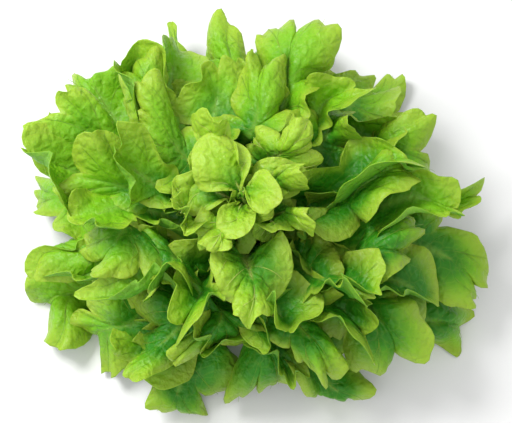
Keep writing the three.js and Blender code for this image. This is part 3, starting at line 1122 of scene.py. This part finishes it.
def leaf_tones() -> Tree:
    """The effect that colours a leaf: clouds of green, painted shade, a pale margin that is partly
    painted light, a pale stalk and veins.
    """
    tree = Tree.effect(
        "leaf_tones",
        {"Deep": "Color", "Fresh": "Color", "Margin": "Color", "Stalk": "Color",
         "Under": "Color", "Net": "Float"},
        {"Colour": "Color", "Gloss": "Float"},
    )
    given = tree.group_in.outputs
    mottle = tree.noise(*SKIN.mottle)
    mixed = tree.total((tree.noise(*SKIN.clouds), mottle), SKIN.cloud_shares)
    # Painted shade: deeper green inside a ball round the head's middle, moved to its lower right,
    # and paler outside it.
    place = tree.node("ShaderNodeMapping")
    tree.wire(tree.object_place(), place.inputs["Vector"])
    tree.wire(SKIN.painted_shade_offset, place.inputs["Location"])
    tree.wire(SKIN.painted_shade_scale, place.inputs["Scale"])
    reach = tree.node("ShaderNodeVectorMath", operation="LENGTH")
    tree.wire(place.outputs["Vector"], reach.inputs[0])
    outer = tree.ramp(reach.outputs["Value"], *SKIN.outer)
    from_rib = tree.attribute("from_rib")
    # Painted shade: deeper near the midrib, paler towards the margin.
    outwards = tree.ramp(from_rib, *SKIN.outwards)
    tinted = tree.total((mixed, outer, tree.attribute("tint"), outwards), SKIN.tone_shares)
    # Low sums take the deep green: dark clouds, and the painted shade of the head's middle, its
    # lower right and the midribs.
    colour = tree.mix(tree.ramp(tinted, *SKIN.fresh), given["Deep"], given["Fresh"])
    veins = tree.ramp(tree.cells(SKIN.net_scale), *SKIN.net_line)
    netted = tree.math("MULTIPLY", tree.math("MULTIPLY", veins, given["Net"]),
                       tree.ramp(from_rib, *SKIN.net_fade))
    colour = tree.mix(netted, colour, given["Margin"])
    # The paler margin: partly the leaf's own colour and partly painted light over the blade's outer
    # half.
    colour = tree.mix(tree.ramp(from_rib, *SKIN.margin), colour, given["Margin"])
    near_rib = tree.ramp(from_rib, *SKIN.near_rib)
    down_stalk = tree.ramp(tree.attribute("stalk"), *SKIN.stalk)
    colour = tree.mix(tree.math("MAXIMUM", near_rib, down_stalk), colour, given["Stalk"])
    beneath = tree.math("MULTIPLY", tree.attribute("under"), SKIN.under_share)
    colour = tree.mix(beneath, colour, given["Under"])
    gloss = tree.total((tree.ramp(mottle, *SKIN.gloss), tree.attribute("under")),
                       (1.0, SKIN.under_gloss))
    tree.wire(colour, tree.group_out.inputs["Colour"])
    tree.wire(gloss, tree.group_out.inputs["Gloss"])
    return tree


def leaf_relief() -> Tree:
    """The effect of a leaf's skin: blisters, uneven swells and a fine grain."""
    tree = Tree.effect("leaf_relief", {"Depth": "Float"}, {"Height": "Float"})
    blisters = tree.ramp(tree.cells(SKIN.blister_scale), *SKIN.blisters)
    swells, grain = tree.noise(*SKIN.swells), tree.noise(*SKIN.grain)
    skin = tree.total((blisters, swells, grain), SKIN.relief_shares)
    height = tree.math("MULTIPLY", skin, tree.group_in.outputs["Depth"])
    tree.wire(height, tree.group_out.inputs["Height"])
    return tree


def flesh_grain() -> Tree:
    """The effect of moist flesh: streaks and specks, as a share and a height."""
    tree = Tree.effect("flesh_grain", {"Scale": "Float"}, {"Streaks": "Float", "Height": "Float"})
    coarse = tree.noise(tree.group_in.outputs["Scale"], SKIN.flesh_detail)
    fine = tree.noise(*SKIN.flesh_fine)
    tree.wire(tree.ramp(coarse, *SKIN.flesh_streaks), tree.group_out.inputs["Streaks"])
    tree.wire(tree.total((coarse, fine), SKIN.flesh_shares), tree.group_out.inputs["Height"])
    return tree


@dataclass
class Effects:
    """The shader node groups that the finishes share."""

    tones: Tree
    relief: Tree
    grain: Tree

    @classmethod
    def made(cls) -> Effects:
        """Makes each group once."""
        return cls(leaf_tones(), leaf_relief(), flesh_grain())


def new_material(name: str, shown: Colour) -> tuple[bpy.types.Material, Tree]:
    """An empty node material.

    Args:
        name: The material's name.
        shown: Its plain colour where nodes aren't drawn.

    Returns:
        The material and its tree.
    """
    material = bpy.data.materials.new(name)
    material.use_nodes = True
    material.diffuse_color = (*shown, 1.0)
    return material, Tree(material.node_tree)


SPECULAR = 0.24
SOAK_RADIUS = (0.6, 1.0, 0.06)
SOAK_DEPTH = 0.002


def surface_of(tree: Tree, colour: object, rough: object, height: object, depth: float,
               softness: float) -> None:
    """Adds the surface itself: colour, gloss, relief and the light that soaks in.

    Args:
        tree: The material's tree.
        colour: The base colour's socket or value.
        rough: The roughness's socket or value.
        height: The relief's height, in millimetres.
        depth: How strongly the relief shows.
        softness: The share of light that soaks in and scatters.
    """
    bump = tree.node("ShaderNodeBump")
    skin = tree.node("ShaderNodeBsdfPrincipled")
    out = tree.node("ShaderNodeOutputMaterial")
    for source, node, into in (
        (depth, bump, "Strength"), (MM, bump, "Distance"), (height, bump, "Height"),
        (colour, skin, "Base Color"), (rough, skin, "Roughness"),
        (bump.outputs["Normal"], skin, "Normal"), (softness, skin, "Subsurface Weight"),
        (SPECULAR, skin, "Specular IOR Level"), (SOAK_RADIUS, skin, "Subsurface Radius"),
        (SOAK_DEPTH, skin, "Subsurface Scale"), (skin.outputs["BSDF"], out, "Surface"),
    ):
        tree.wire(source, node.inputs[into])


@dataclass(frozen=True)
class LeafFinish:
    """The colours and skin of a ring of leaves."""

    name: str
    # The deep green is where the clouds run dark, and also the colour of the painted shade.
    deep: Colour
    fresh: Colour
    margin: Colour
    stalk: Colour
    under: Colour
    net: float = 0.10
    relief: float = 0.7
    bump: float = 0.85
    softness: float = 0.35

    def made(self, effects: Effects) -> bpy.types.Material:
        """Makes the material."""
        material, tree = new_material(self.name, self.fresh)
        tones = tree.use(effects.tones, Deep=self.deep, Fresh=self.fresh, Margin=self.margin,
                         Stalk=self.stalk, Under=self.under, Net=self.net)
        relief = tree.use(effects.relief, Depth=self.relief)
        surface_of(tree, tones.outputs["Colour"], tones.outputs["Gloss"],
                   relief.outputs["Height"], self.bump, self.softness)
        return material


@dataclass(frozen=True)
class VeinFinish:
    """The colours of raised midribs and veins."""

    name: str
    dark: Colour
    light: Colour
    roughness: float = 0.38
    grain: float = 120.0
    bump: float = 0.25
    softness: float = 0.35

    def made(self, effects: Effects) -> bpy.types.Material:
        """Makes the material."""
        material, tree = new_material(self.name, self.light)
        grain = tree.use(effects.grain, Scale=self.grain)
        colour = tree.mix(grain.outputs["Streaks"], self.dark, self.light)
        surface_of(tree, colour, self.roughness, grain.outputs["Height"], self.bump,
                   self.softness)
        return material


@dataclass(frozen=True)
class StemFinish:
    """The colours of the cut stem: its side, its cut face and the ring that browns there."""

    name: str = "stem_flesh"
    side: Colour = (0.62, 0.70, 0.36)
    streak: Colour = (0.78, 0.80, 0.56)
    face: Colour = (0.80, 0.80, 0.62)
    browned: Colour = (0.42, 0.27, 0.12)
    pith: Numbers = (0.005, 0.009, 0.0, 0.35)
    rim: Numbers = (0.0105, 0.0132)
    rim_share: float = 0.7
    grain: float = 260.0
    roughness: float = 0.42
    bump: float = 0.4
    softness: float = 0.2

    def made(self, effects: Effects) -> bpy.types.Material:
        """Makes the material."""
        material, tree = new_material(self.name, self.streak)
        grain = tree.use(effects.grain, Scale=self.grain)
        side = tree.mix(grain.outputs["Streaks"], self.side, self.streak)
        place = tree.node("ShaderNodeSeparateXYZ")
        tree.wire(tree.object_place(), place.inputs[0])
        out = tree.math("SQRT", tree.math("ADD", tree.math("POWER", place.outputs[0], 2.0),
                                          tree.math("POWER", place.outputs[1], 2.0)))
        face = tree.mix(tree.ramp(out, *self.pith), self.face, self.side)
        rim = tree.math("MULTIPLY", tree.ramp(out, *self.rim), grain.outputs["Streaks"])
        face = tree.mix(tree.math("MULTIPLY", rim, self.rim_share), face, self.browned)
        colour = tree.mix(tree.attribute("cut"), side, face)
        surface_of(tree, colour, self.roughness, grain.outputs["Height"], self.bump,
                   self.softness)
        return material


@dataclass(frozen=True)
class FloorFinish:
    """A plain pale matt surface."""

    name: str = "pale_floor"
    tone: Colour = (0.86, 0.86, 0.86)
    shade: float = 0.985
    grain: float = 6.0
    roughness: float = 0.7
    bump: float = 0.02

    def made(self, effects: Effects) -> bpy.types.Material:
        """Makes the material."""
        material, tree = new_material(self.name, self.tone)
        grain = tree.use(effects.grain, Scale=self.grain)
        shaded = tuple(value * self.shade for value in self.tone)
        colour = tree.mix(grain.outputs["Streaks"], shaded, self.tone)
        surface_of(tree, colour, self.roughness, grain.outputs["Height"], self.bump, 0.0)
        return material


# Each deep green here is also the colour of the painted shade.
GREEN_LEAF = LeafFinish(
    "green_leaf", deep=(0.032, 0.215, 0.007), fresh=(0.180, 0.43, 0.010),
    margin=(0.35, 0.47, 0.045), stalk=(0.21, 0.43, 0.05), under=(0.065, 0.30, 0.025))
HEART_LEAF = LeafFinish(
    "heart_leaf", deep=(0.06, 0.27, 0.010), fresh=(0.24, 0.45, 0.015),
    margin=(0.37, 0.53, 0.055), stalk=(0.46, 0.57, 0.13), under=(0.22, 0.42, 0.035),
    net=0.16, relief=0.8)
GREEN_VEIN = VeinFinish("green_vein", dark=(0.12, 0.28, 0.02), light=(0.22, 0.37, 0.03))
HEART_VEIN = VeinFinish("heart_vein", dark=(0.34, 0.47, 0.08), light=(0.46, 0.56, 0.14))


@dataclass
class Lamp:
    """A square soft light that faces the head. Sizes are in metres."""

    name: str
    place: tuple[float, float, float]
    watts: float
    size: float

    def build(self, towards: Vector) -> None:
        """Makes the light."""
        light = bpy.data.lights.new(self.name, "AREA")
        light.energy = self.watts
        light.size = self.size
        lamp = linked(self.name, light)
        lamp.location = self.place
        lamp.rotation_euler = (towards - Vector(self.place)).to_track_quat("-Z", "Y").to_euler()


@dataclass
class Studio:
    """The pale floor, the soft lights and the camera. Sizes are in metres."""

    target: tuple[float, float, float] = (0.008, 0.008, 0.050)
    distance: float = 0.784
    elevation: float = 72.0
    lens_mm: float = 85.0
    sensor_mm: float = 36.0
    floor_half: float = 3.0
    sky: float = 0.79
    lamps: tuple[Lamp, ...] = (
        Lamp("key", (-0.50, 0.28, 0.80), 7.6, 0.35),
        Lamp("fill", (-0.2, -0.5, 0.9), 1.4, 0.6),
    )

    def build(self, finish: bpy.types.Material) -> None:
        """Makes the floor, the world, the lights and the camera."""
        half = self.floor_half
        corners = [(-half, -half, 0.0), (half, -half, 0.0), (half, half, 0.0), (-half, half, 0.0)]
        mesh = bpy.data.meshes.new("floor")
        mesh.from_pydata(corners, [], [(0, 1, 2, 3)])
        mesh.materials.append(finish)
        floor = linked("floor", mesh)
        floor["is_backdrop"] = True
        self._light()
        self._camera()

    def _light(self) -> None:
        """Sets a white sky, a key light at the back left and a weaker, wider fill in front."""
        world = bpy.data.worlds.new("white_sky")
        world.use_nodes = True
        sky = world.node_tree.nodes["Background"]
        sky.inputs["Color"].default_value = (1.0, 1.0, 1.0, 1.0)
        sky.inputs["Strength"].default_value = self.sky
        bpy.context.scene.world = world
        for lamp in self.lamps:
            lamp.build(Vector(self.target))
        bpy.context.scene.view_settings.view_transform = "Standard"

    def _camera(self) -> None:
        """Sets the camera above the head, looking down along +Y."""
        lens = bpy.data.cameras.new("camera")
        lens.lens = self.lens_mm
        lens.sensor_width = self.sensor_mm
        camera = linked("camera", lens)
        tilt = math.radians(self.elevation)
        back = Vector((0.0, -math.cos(tilt), math.sin(tilt)))
        camera.location = Vector(self.target) + back * self.distance
        camera.rotation_euler = (-back).to_track_quat("-Z", "Y").to_euler()
        bpy.context.scene.camera = camera


def report(piece: bpy.types.Object) -> None:
    """Logs a finished piece and how many triangles it has."""
    triangles = sum(len(face.vertices) - 2 for face in piece.data.polygons)
    LOG.info("%s: %d triangles", piece.name, triangles)


def main() -> None:
    """Builds the studio, the stem, every leaf and the veins, in that order."""
    logging.basicConfig(level=logging.INFO, format="%(message)s")
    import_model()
    room = Room.of_frame()
    effects = Effects.made()
    Studio().build(FloorFinish().made(effects))

    stem = CutStem()
    piece = stem.build()
    stem.dress(piece, StemFinish().made(effects))
    report(piece)

    leaf_finish = {Node.GREEN: GREEN_LEAF.made(effects), Node.HEART: HEART_LEAF.made(effects)}
    vein_finish = {Node.GREEN: GREEN_VEIN.made(effects), Node.HEART: HEART_VEIN.made(effects)}
    slots = {Node.GREEN: "green_leaf", Node.HEART: "heart_leaf"}
    side_radius = {Node.GREEN: 0.42, Node.HEART: 0.6}
    leaves = head_of_leaves()
    for leaf in leaves:
        blade = LeafBlade(leaf, room)
        piece = blade.build()
        blade.dress(piece, leaf_finish[leaf.plan.node], slots[leaf.plan.node])
        report(piece)
    for plan in RINGS:
        own = [leaf for leaf in leaves if leaf.plan.ring is plan.ring]
        veins = VeinNet(plan.ring, own, room, side_radius=side_radius[plan.node])
        piece = veins.build(vein_finish[plan.node])
        veins.dress(piece, slots[plan.node])
        report(piece)


if __name__ == "__main__":
    main()
